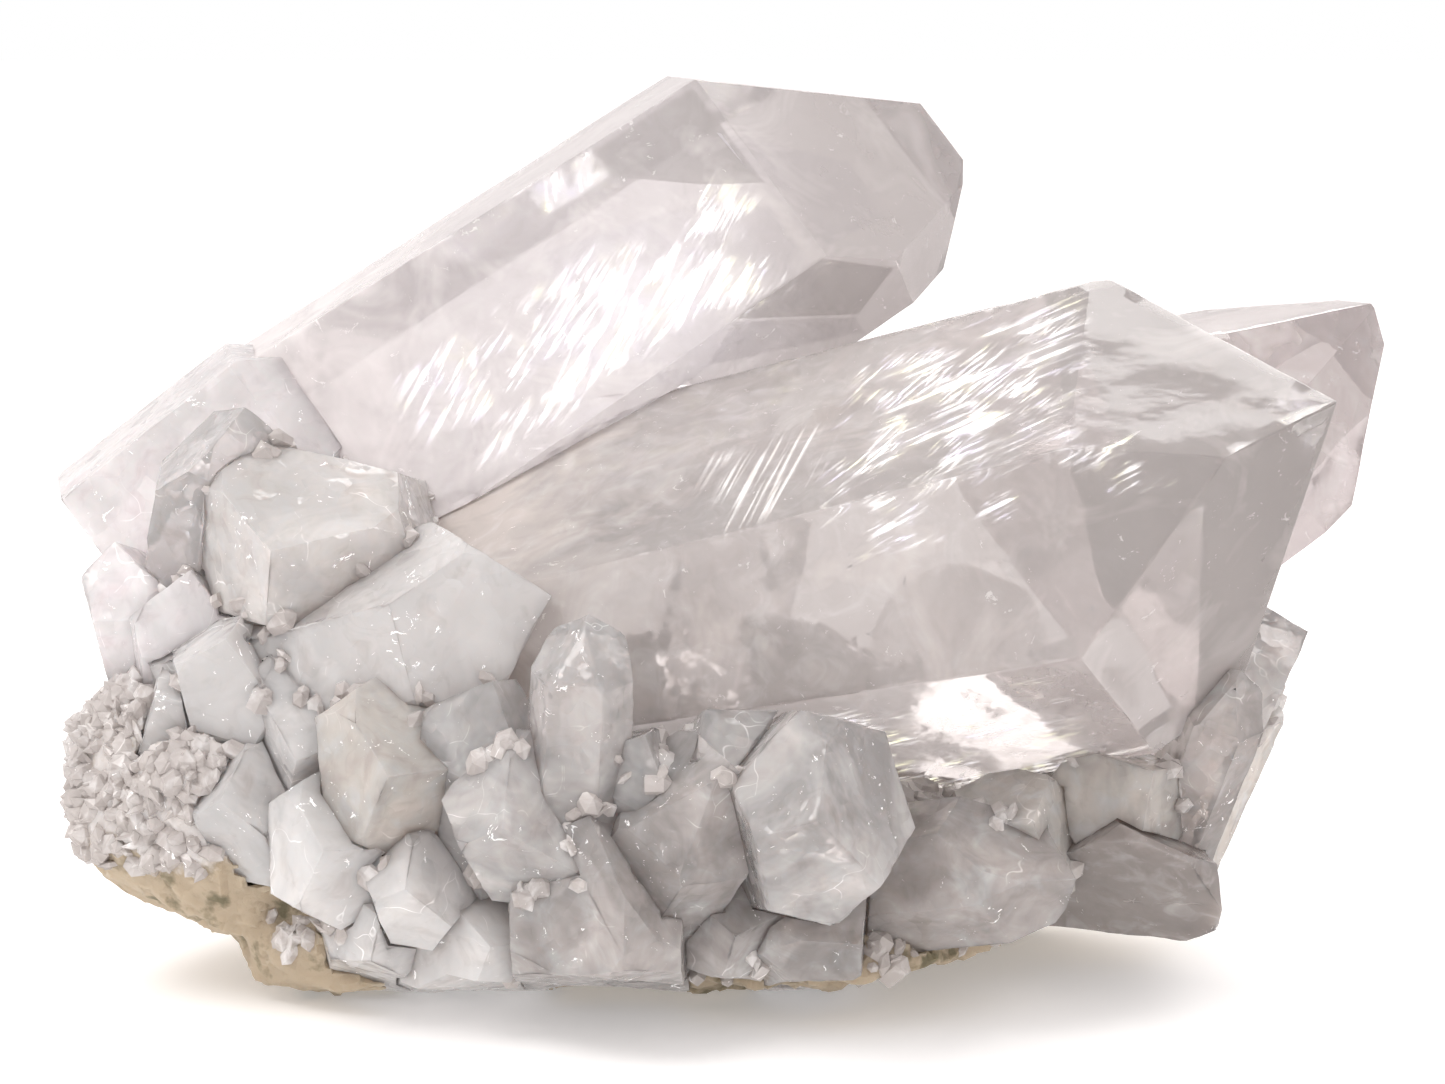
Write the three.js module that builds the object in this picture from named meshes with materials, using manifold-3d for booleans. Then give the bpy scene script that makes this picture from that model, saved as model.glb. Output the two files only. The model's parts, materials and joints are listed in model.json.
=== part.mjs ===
// Quartz crystal cluster: two giant clear crystals lying side by side on a bed of
// stubby smaller crystals, all grown out of one knobbly milky-quartz matrix.
// Units are millimetres, +Z is up, the cluster rests on the flat patches at z = 0,
// and -Y is the side with the best show of crystals.

import * as THREE from 'three';
import { ConvexGeometry } from 'three/addons/geometries/ConvexGeometry.js';
import { mergeVertices } from 'three/addons/utils/BufferGeometryUtils.js';
import Module from 'manifold-3d';

const wasm = await Module();
wasm.setup();

// ---------------------------------------------------------------- dimensions

const CAP_SLOPE = 51.79;      // degrees between the long axis and the normal of a tip face
const GROWTH_GAP = 0.3;       // seam kept between two crystals that grew against each other
const TO_CENTRE = [1.52, -7.03, 0];   // brings the middle of the footprint to the origin
const RAD = Math.PI / 180;    // radians in a degree

const SAME_PLANE = 1e-4;      // planes nearer to parallel than this do not make a corner
const SAME_CORNER = 0.05;     // corners nearer than this are one corner
const WELD = 1e-4;            // points nearer than this are joined before a cut
const GRID = 0.01;            // finished points are rounded to this

// The underside was broken from the rock. It rests on the floor in the middle, and climbs
// toward the front, the left end and the right end. Each climb has a rise per millimetre and
// the place where it starts, and the arch is a shallow hollow under the front middle.
const UNDERSIDE = {
  frontRise: 0.34,
  frontFrom: 3,
  leftRise: 0.55,
  leftFrom: 50,
  rightRise: 2,
  rightFrom: 16,
  rightTop: 7,
  rightDepth: 24,
  backRise: 0.6,
  backFrom: 40,
  archTop: 3.2,
  archMiddle: -9,
  archCurve: 0.025,
  archDepth: 12,
  roughness: 0.7,
  flatBelow: 0.5,
};

// The block of rock under it: width, depth, how finely its top is divided, and its bottom.
const ROCK = { width: 220, depth: 160, columns: 32, rows: 24, bottom: -60 };

// Colours seen in the clear, milky, smoky and stained parts of the cluster.
const CLEAR = { color: 0xe4dee2, roughness: 0.08 };
const MILKY = { color: 0xd9d2d3, roughness: 0.35 };
const WARM = { color: 0xd3c7be, roughness: 0.3 };
const GREY = { color: 0xb3acab, roughness: 0.25 };
const PINK = { color: 0xe0c4cb, roughness: 0.3 };
const STONE = { color: 0xbdb0a4, roughness: 0.8 };

// The big crystals are measured face by face. `tip` is the point of the long axis where a
// regular crystal would end, `rise` its angle above the floor, `lean` its angle toward -Y,
// `turn` its turn about the long axis and `length` how far back the foot lies. `sides` are
// the six distances from the axis to the prism faces, going round from the face turned to
// -Y over the top. `caps` says how far past the tip each tip face meets the axis, `slopes`
// and `tilts` are small departures of the tip and prism faces from the ideal angles.
const BIG = [
  {
    name: 'right_giant', look: CLEAR, tip: [67.2, -15.8, 59.9],
    rise: 16.8, lean: 16.9, turn: 8.8, length: 122,
    sides: [20, 22, 35.1, 21, 22.1, 19.7],
    caps: [72, 57.2, 30, -2.2, 12, 0],
    tilts: [2.7, 1.6, -0.6, 0, -0.9, -2.7],
    slopes: [22, 22, 0, -1.2, 0, 1.4],
  },
  {
    name: 'left_giant', look: CLEAR, tip: [32.6, 46.8, 107],
    rise: 32.8, lean: -11.3, turn: 21, length: 105,
    sides: [16, 22, 19.9, 12, 16, 18.2],
    caps: [-11.4, -3.2, 5, 1.5, 4, 0],
    tilts: [-0.5, 0.6, 0, 0, 0, 0.6],
    slopes: [0, 0, 0, 0, 0, 0],
  },
  {
    name: 'right_back', look: CLEAR, tip: [80, 14, 70],
    rise: 38.8, lean: 7.9, turn: 32, length: 44,
    sides: [16, 26, 24, 22, 7.7, 13],
    caps: [12, 23.8, 20, 4.5, -0.3, 1.2],
    tilts: [0, 0, 0, 0, 0, 0],
    slopes: [0, 8.2, 0, -19.8, -2, -3.3],
  },
  {
    name: 'left_flank', look: PINK, tip: [-41, 27, 74],
    rise: 38, lean: -6, turn: 18, length: 43,
    sides: [13, 14, 13, 12, 13, 14],
    caps: [0, 2, 0, 2, 0, 2],
    tilts: [0, 0, 0, 0, 0, 0],
    slopes: [0, 0, 0, 0, 0, 0],
  },
];

// The bed crystals are set out by tip, foot, half width and turn. `habit` picks one of the
// growth habits below.
const BED = [
  // name, look, tip, foot, half width, turn, habit
  ['left_block', WARM, [-52, -20, 58], [-47, 16, 51], 12, 12, 1],
  ['mid_left', MILKY, [-20, -17, 50], [-62, 4, 36], 11, 8, 0],
  ['mid_right_b', CLEAR, [13, -46, 31], [8, -12, 24], 10.5, 14, 2],
  ['mid_right_a', CLEAR, [-3, -33, 34], [8, -10, 25], 9, 40, 1],
  ['beige_left', WARM, [-37.5, -32, 33], [-38, -4, 29], 9.2, 25, 0],
  ['centre_finger', CLEAR, [-15.5, -31, 50], [-17, -25, 18], 5.2, 10, 3],
  ['centre_left', CLEAR, [-26, -29, 43], [-28, -16, 20], 6.8, 30, 1],
  ['centre_low', CLEAR, [-22, -40, 29], [-22, -10, 25], 9.2, 5, 2],
  ['centre_right', CLEAR, [-8.5, -32, 37], [-13, -20, 22], 4.8, 15, 0],
  ['dark_wedge', GREY, [-0.5, -35, 34], [-12, -14, 12], 8, 20, 3],
  ['dark_pyramid', GREY, [-14.5, -34, 28], [-14, -14, 0], 11, 33, 0],
  ['low_a', GREY, [1.5, -31, 15], [-2, -6, 12], 7.5, 12, 1],
  ['low_b', GREY, [16, -28, 14], [2, -8, 11], 7.5, 20, 2],
  ['low_c', GREY, [9, -15, 4], [10, 12, 6], 7.5, 0, 0],
  ['bottom_mid', MILKY, [-26, -30, 14], [-30, 0, 6], 10, 22, 1],
  ['lower_a', MILKY, [-34, -32, 20], [-36, -4, 14], 6.5, 10, 2],
  ['lower_b', MILKY, [-45, -30, 24], [-45, -4, 18], 7.8, 28, 0],
  ['lower_c', MILKY, [-39, -26, 16], [-41, -4, 6], 6.5, 15, 1],
  ['lower_right', GREY, [41, -22, 20.5], [8, -6, 13], 8.2, 18, 2],
  ['right_base', GREY, [49, -23, 13.5], [47, 10, 12], 9.4, 24, 4],
  ['beige_a', WARM, [36, -18, 24], [32, 4, 13], 8, 12, 0],
  ['beige_b', WARM, [50, -15, 29.5], [42, 6, 14], 7.8, 40, 1],
  ['right_stub', GREY, [60, -10, 40], [52, 4, 10], 4.6, 10, 3],
  ['back_sliver', WARM, [67, 15, 37], [56, 14, 12], 5, 5, 0],
  ['right_low_back', CLEAR, [72, 5, 43], [40, 20, 26], 9, 24, 1],
  ['pink_left', PINK, [-73, 3, 54], [-68, 10, 26], 6, 18, 0],
  ['left_neighbour', PINK, [-63, -5, 52], [-64, 8, 28], 6.5, 6, 1],
  ['left_small_a', CLEAR, [-58, -2, 72], [-64, 8, 46], 7, 24, 2],
  ['left_small_b', MILKY, [-57, -16, 45], [-58, 6, 28], 7.5, 12, 0],
  ['mid_left_b', MILKY, [-49, -22, 33], [-46, 6, 40], 9, 20, 1],
  ['left_low_a', MILKY, [-66, -14, 38], [-56, 6, 26], 7.5, 16, 1],
  ['left_low_b', MILKY, [-56, -22, 28], [-50, 2, 20], 8, 8, 2],
  ['back_tall', CLEAR, [8, 54, 60], [-2, 20, 18], 9, 20, 0],
  ['back_left', WARM, [-38, 52, 44], [-26, 18, 16], 9, 8, 1],
  ['back_mid', CLEAR, [-14, 57, 34], [-10, 20, 16], 8.5, 30, 2],
  ['back_right', CLEAR, [40, 50, 46], [20, 18, 16], 9, 14, 3],
  ['back_low_right', GREY, [52, 36, 24], [22, 14, 14], 7.5, 25, 0],
  ['back_low_left', MILKY, [-58, 38, 28], [-32, 14, 16], 8, 10, 1],
  ['back_low_mid', GREY, [8, 53, 17], [4, 18, 12], 8, 18, 2],
  ['back_stub_a', WARM, [28, 54, 28], [16, 20, 14], 6.5, 35, 0],
  ['back_stub_b', MILKY, [-34, 50, 19], [-22, 16, 12], 6.5, 12, 1],
  ['back_stub_c', PINK, [-60, 28, 44], [-46, 12, 22], 6.5, 22, 3],
];

// Six side factors and six cap offsets (in half widths) for each growth habit.
const HABITS = [
  { sides: [1, 0.85, 1.1, 1, 0.9, 1.05], caps: [0, 0.5, 0.1, 0.6, 0, 0.45] },
  { sides: [0.9, 1.1, 1, 0.85, 1.05, 1], caps: [-0.3, 0.4, 0, 0.5, -0.1, 0.3] },
  { sides: [1.05, 1, 0.9, 1.1, 0.85, 0.95], caps: [0.3, -0.4, 0.4, 0, 0.5, 0.1] },
  { sides: [1, 0.95, 1.05, 0.9, 1, 1.1], caps: [0.2, 0, 0.7, 0.3, 0.8, 0.2] },
  { sides: [0.9, 1.1, 1, 0.85, 1.05, 1], caps: [0.5, 0.3, 0.2, -1.6, 0.3, 0.4] },
];

// The matrix is a heap of rough lumps: centre, half axes, seed of the roughness.
const LUMP_FINENESS = 5;      // how often the faces of the starting ball are divided
const LUMP_ROUGHNESS = 0.06;  // height of the waves as a part of the half axis
const LUMPS = [
  [[-13, 16, 20], [55, 30, 24], 1],
  [[27, 17, 14], [34, 24, 14], 2],
  [[-56, 4, 24], [22, 20, 19], 3],
  [[-44, -2, 8], [15, 14, 10], 4],
  [[-20, -6, 9], [26, 16, 12], 5],
  [[10, -4, 8], [22, 16, 11], 6],
];

// ------------------------------------------------------------------ geometry

// The directions of a crystal: its long axis, the side turned to -Y and the side turned up.
function crystalAxes(rise, lean) {
  const axis = new THREE.Vector3(
    Math.cos(lean * RAD) * Math.cos(rise * RAD),
    -Math.sin(lean * RAD),
    Math.cos(lean * RAD) * Math.sin(rise * RAD),
  );
  const front = new THREE.Vector3(0, -1, 0);
  if (Math.abs(axis.y) > 0.9) {
    front.set(0, 0, 1);
  }
  front.addScaledVector(axis, -front.dot(axis)).normalize();
  const upper = new THREE.Vector3().crossVectors(front, axis);
  return { axis, front, upper };
}

// The planes that bound one crystal: six prism faces, six tip faces and the foot.
function crystalPlanes(spec) {
  const { axis, front, upper } = crystalAxes(spec.rise, spec.lean);
  const tip = new THREE.Vector3(...spec.tip);
  const planes = [];
  for (let k = 0; k < 6; k += 1) {
    const around = (spec.turn + 60 * k) * RAD;
    const out = front.clone().multiplyScalar(Math.cos(around));
    out.addScaledVector(upper, Math.sin(around));
    const tilt = spec.tilts[k] * RAD;
    const side = out.clone().multiplyScalar(Math.cos(tilt));
    side.addScaledVector(axis, Math.sin(tilt));
    planes.push({ normal: side, offset: side.dot(tip) + spec.sides[k] });
    const slope = (CAP_SLOPE + spec.slopes[k]) * RAD;
    const cap = axis.clone().multiplyScalar(Math.cos(slope));
    cap.addScaledVector(out, Math.sin(slope));
    planes.push({ normal: cap, offset: cap.dot(tip) + spec.caps[k] * cap.dot(axis) });
  }
  const back = axis.clone().negate();
  planes.push({ normal: back, offset: back.dot(tip) + spec.length });
  return planes;
}

// The corners of the solid inside all the planes, each plane moved out by `grow`.
function corners(planes, grow) {
  const found = [];
  const n = planes.length;
  for (let i = 0; i < n; i += 1) {
    for (let j = i + 1; j < n; j += 1) {
      for (let k = j + 1; k < n; k += 1) {
        const [a, b, c] = [planes[i], planes[j], planes[k]];
        const bc = new THREE.Vector3().crossVectors(b.normal, c.normal);
        const det = a.normal.dot(bc);
        if (Math.abs(det) < SAME_PLANE) {
          continue;
        }
        const ca = new THREE.Vector3().crossVectors(c.normal, a.normal);
        const ab = new THREE.Vector3().crossVectors(a.normal, b.normal);
        const point = bc.multiplyScalar(a.offset + grow);
        point.addScaledVector(ca, b.offset + grow);
        point.addScaledVector(ab, c.offset + grow);
        point.multiplyScalar(1 / det);
        const reach = grow + SAME_PLANE;
        const inside = planes.every((p) => p.normal.dot(point) <= p.offset + reach);
        if (inside && !found.some((q) => q.distanceTo(point) < SAME_CORNER)) {
          found.push(point);
        }
      }
    }
  }
  return found;
}

// A closed three.js geometry turned into a solid that can be cut.
function solidOf(geometry) {
  const bare = geometry.clone();
  bare.deleteAttribute('normal');
  bare.deleteAttribute('uv');
  const merged = mergeVertices(bare, WELD);
  return new wasm.Manifold(new wasm.Mesh({
    numProp: 3,
    vertProperties: new Float32Array(merged.attributes.position.array),
    triVerts: new Uint32Array(merged.index.array),
  }));
}

function crystalSolid(spec, grow) {
  return solidOf(new ConvexGeometry(corners(crystalPlanes(spec), grow)));
}

// A bed crystal described like a big one.
function bedSpec([name, look, tip, foot, half, turn, habit]) {
  const run = new THREE.Vector3(...tip).sub(new THREE.Vector3(...foot));
  const length = run.length();
  const flat = Math.hypot(run.x, run.z);
  return {
    name,
    look,
    tip,
    rise: Math.atan2(run.z, run.x) / RAD,
    lean: Math.atan2(-run.y, flat) / RAD,
    turn,
    length,
    sides: HABITS[habit].sides.map((s) => s * half),
    caps: HABITS[habit].caps.map((c) => c * half),
    tilts: [0, 0, 0, 0, 0, 0],
    slopes: [0, 0, 0, 0, 0, 0],
  };
}

// One rough lump of the matrix: a ball pushed in and out by slow waves.
function lump([centre, half, seed]) {
  const ball = new THREE.IcosahedronGeometry(1, LUMP_FINENESS);
  const at = ball.attributes.position;
  const p = new THREE.Vector3();
  for (let i = 0; i < at.count; i += 1) {
    p.fromBufferAttribute(at, i);
    const wave = Math.sin(5 * p.x + seed) * Math.sin(4 * p.y + 2 * seed)
      + Math.sin(6 * p.z + 3 * seed) * Math.sin(5 * p.x - 4 * p.y + seed);
    p.multiplyScalar(1 + LUMP_ROUGHNESS * wave);
    p.multiply(new THREE.Vector3(...half));
    p.add(new THREE.Vector3(...centre));
    at.setXYZ(i, p.x, p.y, p.z);
  }
  return solidOf(ball);
}

// Height of the broken underside above the floor.
function undersideHeight(x, y) {
  const u = UNDERSIDE;
  const front = u.frontRise * Math.max(0, -y - u.frontFrom);
  const left = u.leftRise * Math.max(0, -x - u.leftFrom);
  let right = u.backRise * Math.max(0, x - u.backFrom);
  if (y < u.rightDepth) {
    right = Math.min(u.rightTop, u.rightRise * Math.max(0, x - u.rightFrom));
  }
  let arch = 0;
  if (y < u.archDepth) {
    arch = u.archTop - u.archCurve * (x - u.archMiddle) ** 2;
  }
  const raised = Math.max(front, left, right, arch);
  if (raised < u.flatBelow) {
    return 0;
  }
  const rough = u.roughness * Math.sin(0.35 * x + 1) * Math.sin(0.4 * y);
  return Math.max(0, raised + rough);
}

// The rock the cluster was broken from: everything under the underside.
function bedrock() {
  const block = new THREE.BoxGeometry(ROCK.width, ROCK.depth, 1, ROCK.columns, ROCK.rows, 1);
  const at = block.attributes.position;
  for (let i = 0; i < at.count; i += 1) {
    const top = at.getZ(i) > 0;
    at.setZ(i, top ? undersideHeight(at.getX(i), at.getY(i)) : ROCK.bottom);
  }
  return solidOf(block);
}

// The largest connected body of a cut solid, as a three.js geometry.
function largestBody(solid) {
  const mesh = solid.getMesh();
  const verts = mesh.vertProperties;
  const tris = mesh.triVerts;
  const keys = new Map();
  const points = [];
  const ids = [];
  for (let i = 0; i < verts.length; i += 3) {
    const at = [0, 1, 2].map((c) => Math.round(verts[i + c] / GRID) * GRID);
    const key = at.join(',');
    if (!keys.has(key)) {
      keys.set(key, points.length);
      points.push(at);
    }
    ids.push(keys.get(key));
  }
  const root = points.map((_, i) => i);
  const find = (i) => {
    let r = i;
    while (root[r] !== r) {
      r = root[r];
    }
    root[i] = r;
    return r;
  };
  const faces = [];
  for (let t = 0; t < tris.length; t += 3) {
    const [a, b, c] = [ids[tris[t]], ids[tris[t + 1]], ids[tris[t + 2]]];
    if (a !== b && b !== c && c !== a) {
      faces.push([a, b, c]);
      root[find(a)] = find(b);
      root[find(b)] = find(c);
    }
  }
  const volumes = new Map();
  for (const [a, b, c] of faces) {
    const [p, q, r] = [points[a], points[b], points[c]];
    const v = p[0] * (q[1] * r[2] - q[2] * r[1])
      + p[1] * (q[2] * r[0] - q[0] * r[2])
      + p[2] * (q[0] * r[1] - q[1] * r[0]);
    const body = find(a);
    volumes.set(body, (volumes.get(body) || 0) + v);
  }
  const best = [...volumes.entries()].sort((x, y) => y[1] - x[1])[0][0];
  const kept = faces.filter(([a]) => find(a) === best);
  const used = new Map();
  const position = [];
  const index = [];
  for (const face of kept) {
    for (const id of face) {
      if (!used.has(id)) {
        used.set(id, used.size);
        position.push(...points[id]);
      }
      index.push(used.get(id));
    }
  }
  const geometry = new THREE.BufferGeometry();
  geometry.setAttribute('position', new THREE.Float32BufferAttribute(position, 3));
  geometry.setIndex(index);
  return geometry;
}

// --------------------------------------------------------------------- build

const group = new THREE.Group();
const cluster = new THREE.Group();
cluster.position.set(...TO_CENTRE);
group.add(cluster);

function addMesh(name, look, solid) {
  const geometry = largestBody(solid);
  const material = new THREE.MeshStandardMaterial({
    color: look.color,
    roughness: look.roughness,
    metalness: 0,
    flatShading: true,
  });
  const mesh = new THREE.Mesh(geometry, material);
  mesh.name = name;
  cluster.add(mesh);
}

// Earlier crystals keep their full shape; each later one stops a hair short of them.
const under = bedrock();
const specs = [...BIG, ...BED.map(bedSpec)];
const grown = [];
for (const spec of specs) {
  let solid = crystalSolid(spec, 0).subtract(under);
  for (const other of grown) {
    solid = solid.subtract(other);
  }
  grown.push(crystalSolid(spec, GROWTH_GAP));
  addMesh(spec.name, spec.look, solid);
}

// The matrix fills what is left of the heap of lumps.
let matrix = null;
for (const item of LUMPS) {
  const piece = lump(item);
  matrix = matrix ? matrix.add(piece) : piece;
}
matrix = matrix.subtract(under);
for (const other of grown) {
  matrix = matrix.subtract(other);
}
addMesh('matrix', STONE, matrix);

export default group;
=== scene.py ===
import json
import math

import bmesh
import bpy
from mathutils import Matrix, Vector, noise
from mathutils.bvhtree import BVHTree


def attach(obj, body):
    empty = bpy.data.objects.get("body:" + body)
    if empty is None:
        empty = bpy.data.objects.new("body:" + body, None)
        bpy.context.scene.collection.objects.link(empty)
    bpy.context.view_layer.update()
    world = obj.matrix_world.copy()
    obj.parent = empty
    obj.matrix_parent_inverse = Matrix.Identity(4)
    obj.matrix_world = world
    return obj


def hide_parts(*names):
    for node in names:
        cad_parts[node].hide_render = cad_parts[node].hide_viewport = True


MM = 0.001
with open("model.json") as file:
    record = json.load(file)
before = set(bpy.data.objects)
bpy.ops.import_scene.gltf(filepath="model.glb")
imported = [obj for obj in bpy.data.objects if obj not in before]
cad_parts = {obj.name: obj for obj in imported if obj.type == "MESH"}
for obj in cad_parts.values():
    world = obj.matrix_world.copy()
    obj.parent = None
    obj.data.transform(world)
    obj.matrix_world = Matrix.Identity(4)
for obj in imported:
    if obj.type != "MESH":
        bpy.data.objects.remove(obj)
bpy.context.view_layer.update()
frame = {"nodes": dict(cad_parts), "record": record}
nodes = frame["nodes"]
slot_of = {s["node"]: s["material_slot"] for s in frame["record"]["subparts"]}
crystals = [name for name in nodes if name != "matrix"]
giants = ("left_giant", "right_giant", "right_back", "left_flank")

# %% [markdown]
# ## Colour management
# Rock crystal on a pale table is a picture made of light tones. The Standard view keeps the
# white of the table white, where a film-like view would grey it.
# %% Set the view
bpy.context.scene.view_settings.view_transform = "Standard"

# %% [markdown]
# ## A small kit for shader graphs
# Every finish is a graph of nodes. A short helper that adds a node and sets its values keeps
# the graphs readable, because each line then reads as one step of the recipe.
# %% Shader helpers
def add_node(tree, kind, inputs=None, **settings):
    """A node of that kind, with its settings and its unlinked inputs filled in."""
    node = tree.nodes.new(kind)
    for key, value in settings.items():
        setattr(node, key, value)
    for key, value in (inputs or {}).items():
        if isinstance(value, bpy.types.NodeSocket):
            tree.links.new(value, node.inputs[key])
        else:
            node.inputs[key].default_value = value
    return node


def new_finish(name):
    """An empty material with a Principled shader wired to its output."""
    material = bpy.data.materials.new(name)
    material.use_nodes = True
    material.node_tree.nodes.clear()
    tree = material.node_tree
    shader = add_node(tree, "ShaderNodeBsdfPrincipled")
    output = add_node(tree, "ShaderNodeOutputMaterial")
    tree.links.new(shader.outputs["BSDF"], output.inputs["Surface"])
    place = add_node(tree, "ShaderNodeTexCoord").outputs["Object"]
    return material, tree, shader, place


def mottle(tree, place, size, detail=4.0, roughness=0.55, distortion=0.0):
    """Noise whose blotches are about that size, in metres."""
    inputs = {
        "Vector": place,
        "Scale": 1.0 / size,
        "Detail": detail,
        "Roughness": roughness,
        "Distortion": distortion,
    }
    return add_node(tree, "ShaderNodeTexNoise", inputs).outputs["Fac"]


def remap(tree, value, low, high, to_low=0.0, to_high=1.0):
    """value taken from low..high to to_low..to_high, held at both ends."""
    inputs = {"Value": value, 1: low, 2: high, 3: to_low, 4: to_high}
    return add_node(tree, "ShaderNodeMapRange", inputs).outputs["Result"]


def sums(tree, kind, a, b):
    return add_node(tree, "ShaderNodeMath", {0: a, 1: b}, operation=kind).outputs[0]


def tint(tree, amount, first, second):
    """first colour where amount is 0, second where it is 1."""
    mix = add_node(tree, "ShaderNodeMix", {"Factor": amount}, data_type="RGBA")
    for socket, colour in ((mix.inputs[6], first), (mix.inputs[7], second)):
        if isinstance(colour, bpy.types.NodeSocket):
            tree.links.new(colour, socket)
        else:
            socket.default_value = (*colour, 1.0)
    return mix.outputs[2]


# %% [markdown]
# ## Quartz
# Quartz is clear where it grew slowly, toward the points, and cloudy near the root, where it
# is full of tiny bubbles. Light soaks into that cloud and comes out again a few millimetres
# away, so the cloudy part is given a soft subsurface glow and the clear part is glass. Both
# are broken up the way broken ice is: small flat scars at every angle, thin bright cracks
# that run along the borders of the scars, and white flecks where a crack catches the light.
# The flecks and cracks are painted white and given a faint emission. They are partly the white
# of the cracks themselves and partly a painted glint. The greyer tip end is painted shade,
# standing in for the darker room seen through the point.
# %% Patterns in the stone
def scars(tree, place, size):
    """Height of small flat scars of that size, each leaning its own way."""
    bent = add_node(tree, "ShaderNodeTexNoise", {"Vector": place, "Scale": 0.7 / size})
    bend = add_node(tree, "ShaderNodeVectorMath",
                    {0: bent.outputs["Color"], "Scale": 0.7 * size}, operation="SCALE").outputs[0]
    spot = add_node(tree, "ShaderNodeVectorMath", {0: place, 1: bend}, operation="ADD").outputs[0]
    cell = add_node(tree, "ShaderNodeTexVoronoi", {"Vector": spot, "Scale": 1.0 / size})
    away = add_node(tree, "ShaderNodeVectorMath", {0: spot, 1: cell.outputs["Position"]},
                    operation="SUBTRACT").outputs[0]
    lean = add_node(tree, "ShaderNodeVectorMath", {0: cell.outputs["Color"], 1: (0.5, 0.5, 0.5)},
                    operation="SUBTRACT").outputs[0]
    return add_node(tree, "ShaderNodeVectorMath", {0: away, 1: lean},
                    operation="DOT_PRODUCT").outputs["Value"]


def hairlines(tree, place, size, width):
    """1 on thin crooked lines round blocks of that size, 0 elsewhere."""
    bent = add_node(tree, "ShaderNodeTexNoise", {"Vector": place, "Scale": 1.5 / size, "Detail": 1.0})
    bend = add_node(tree, "ShaderNodeVectorMath",
                    {0: bent.outputs["Color"], "Scale": 0.9 * size}, operation="SCALE").outputs[0]
    spot = add_node(tree, "ShaderNodeVectorMath", {0: place, 1: bend}, operation="ADD").outputs[0]
    cell = add_node(tree, "ShaderNodeTexVoronoi", {"Vector": spot, "Scale": 1.0 / size},
                    feature="DISTANCE_TO_EDGE")
    return remap(tree, cell.outputs["Distance"], width / size, 0.0)


# %% Quartz finish
QUARTZ_IOR = 1.544
SMOOTH = 0.05


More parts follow.
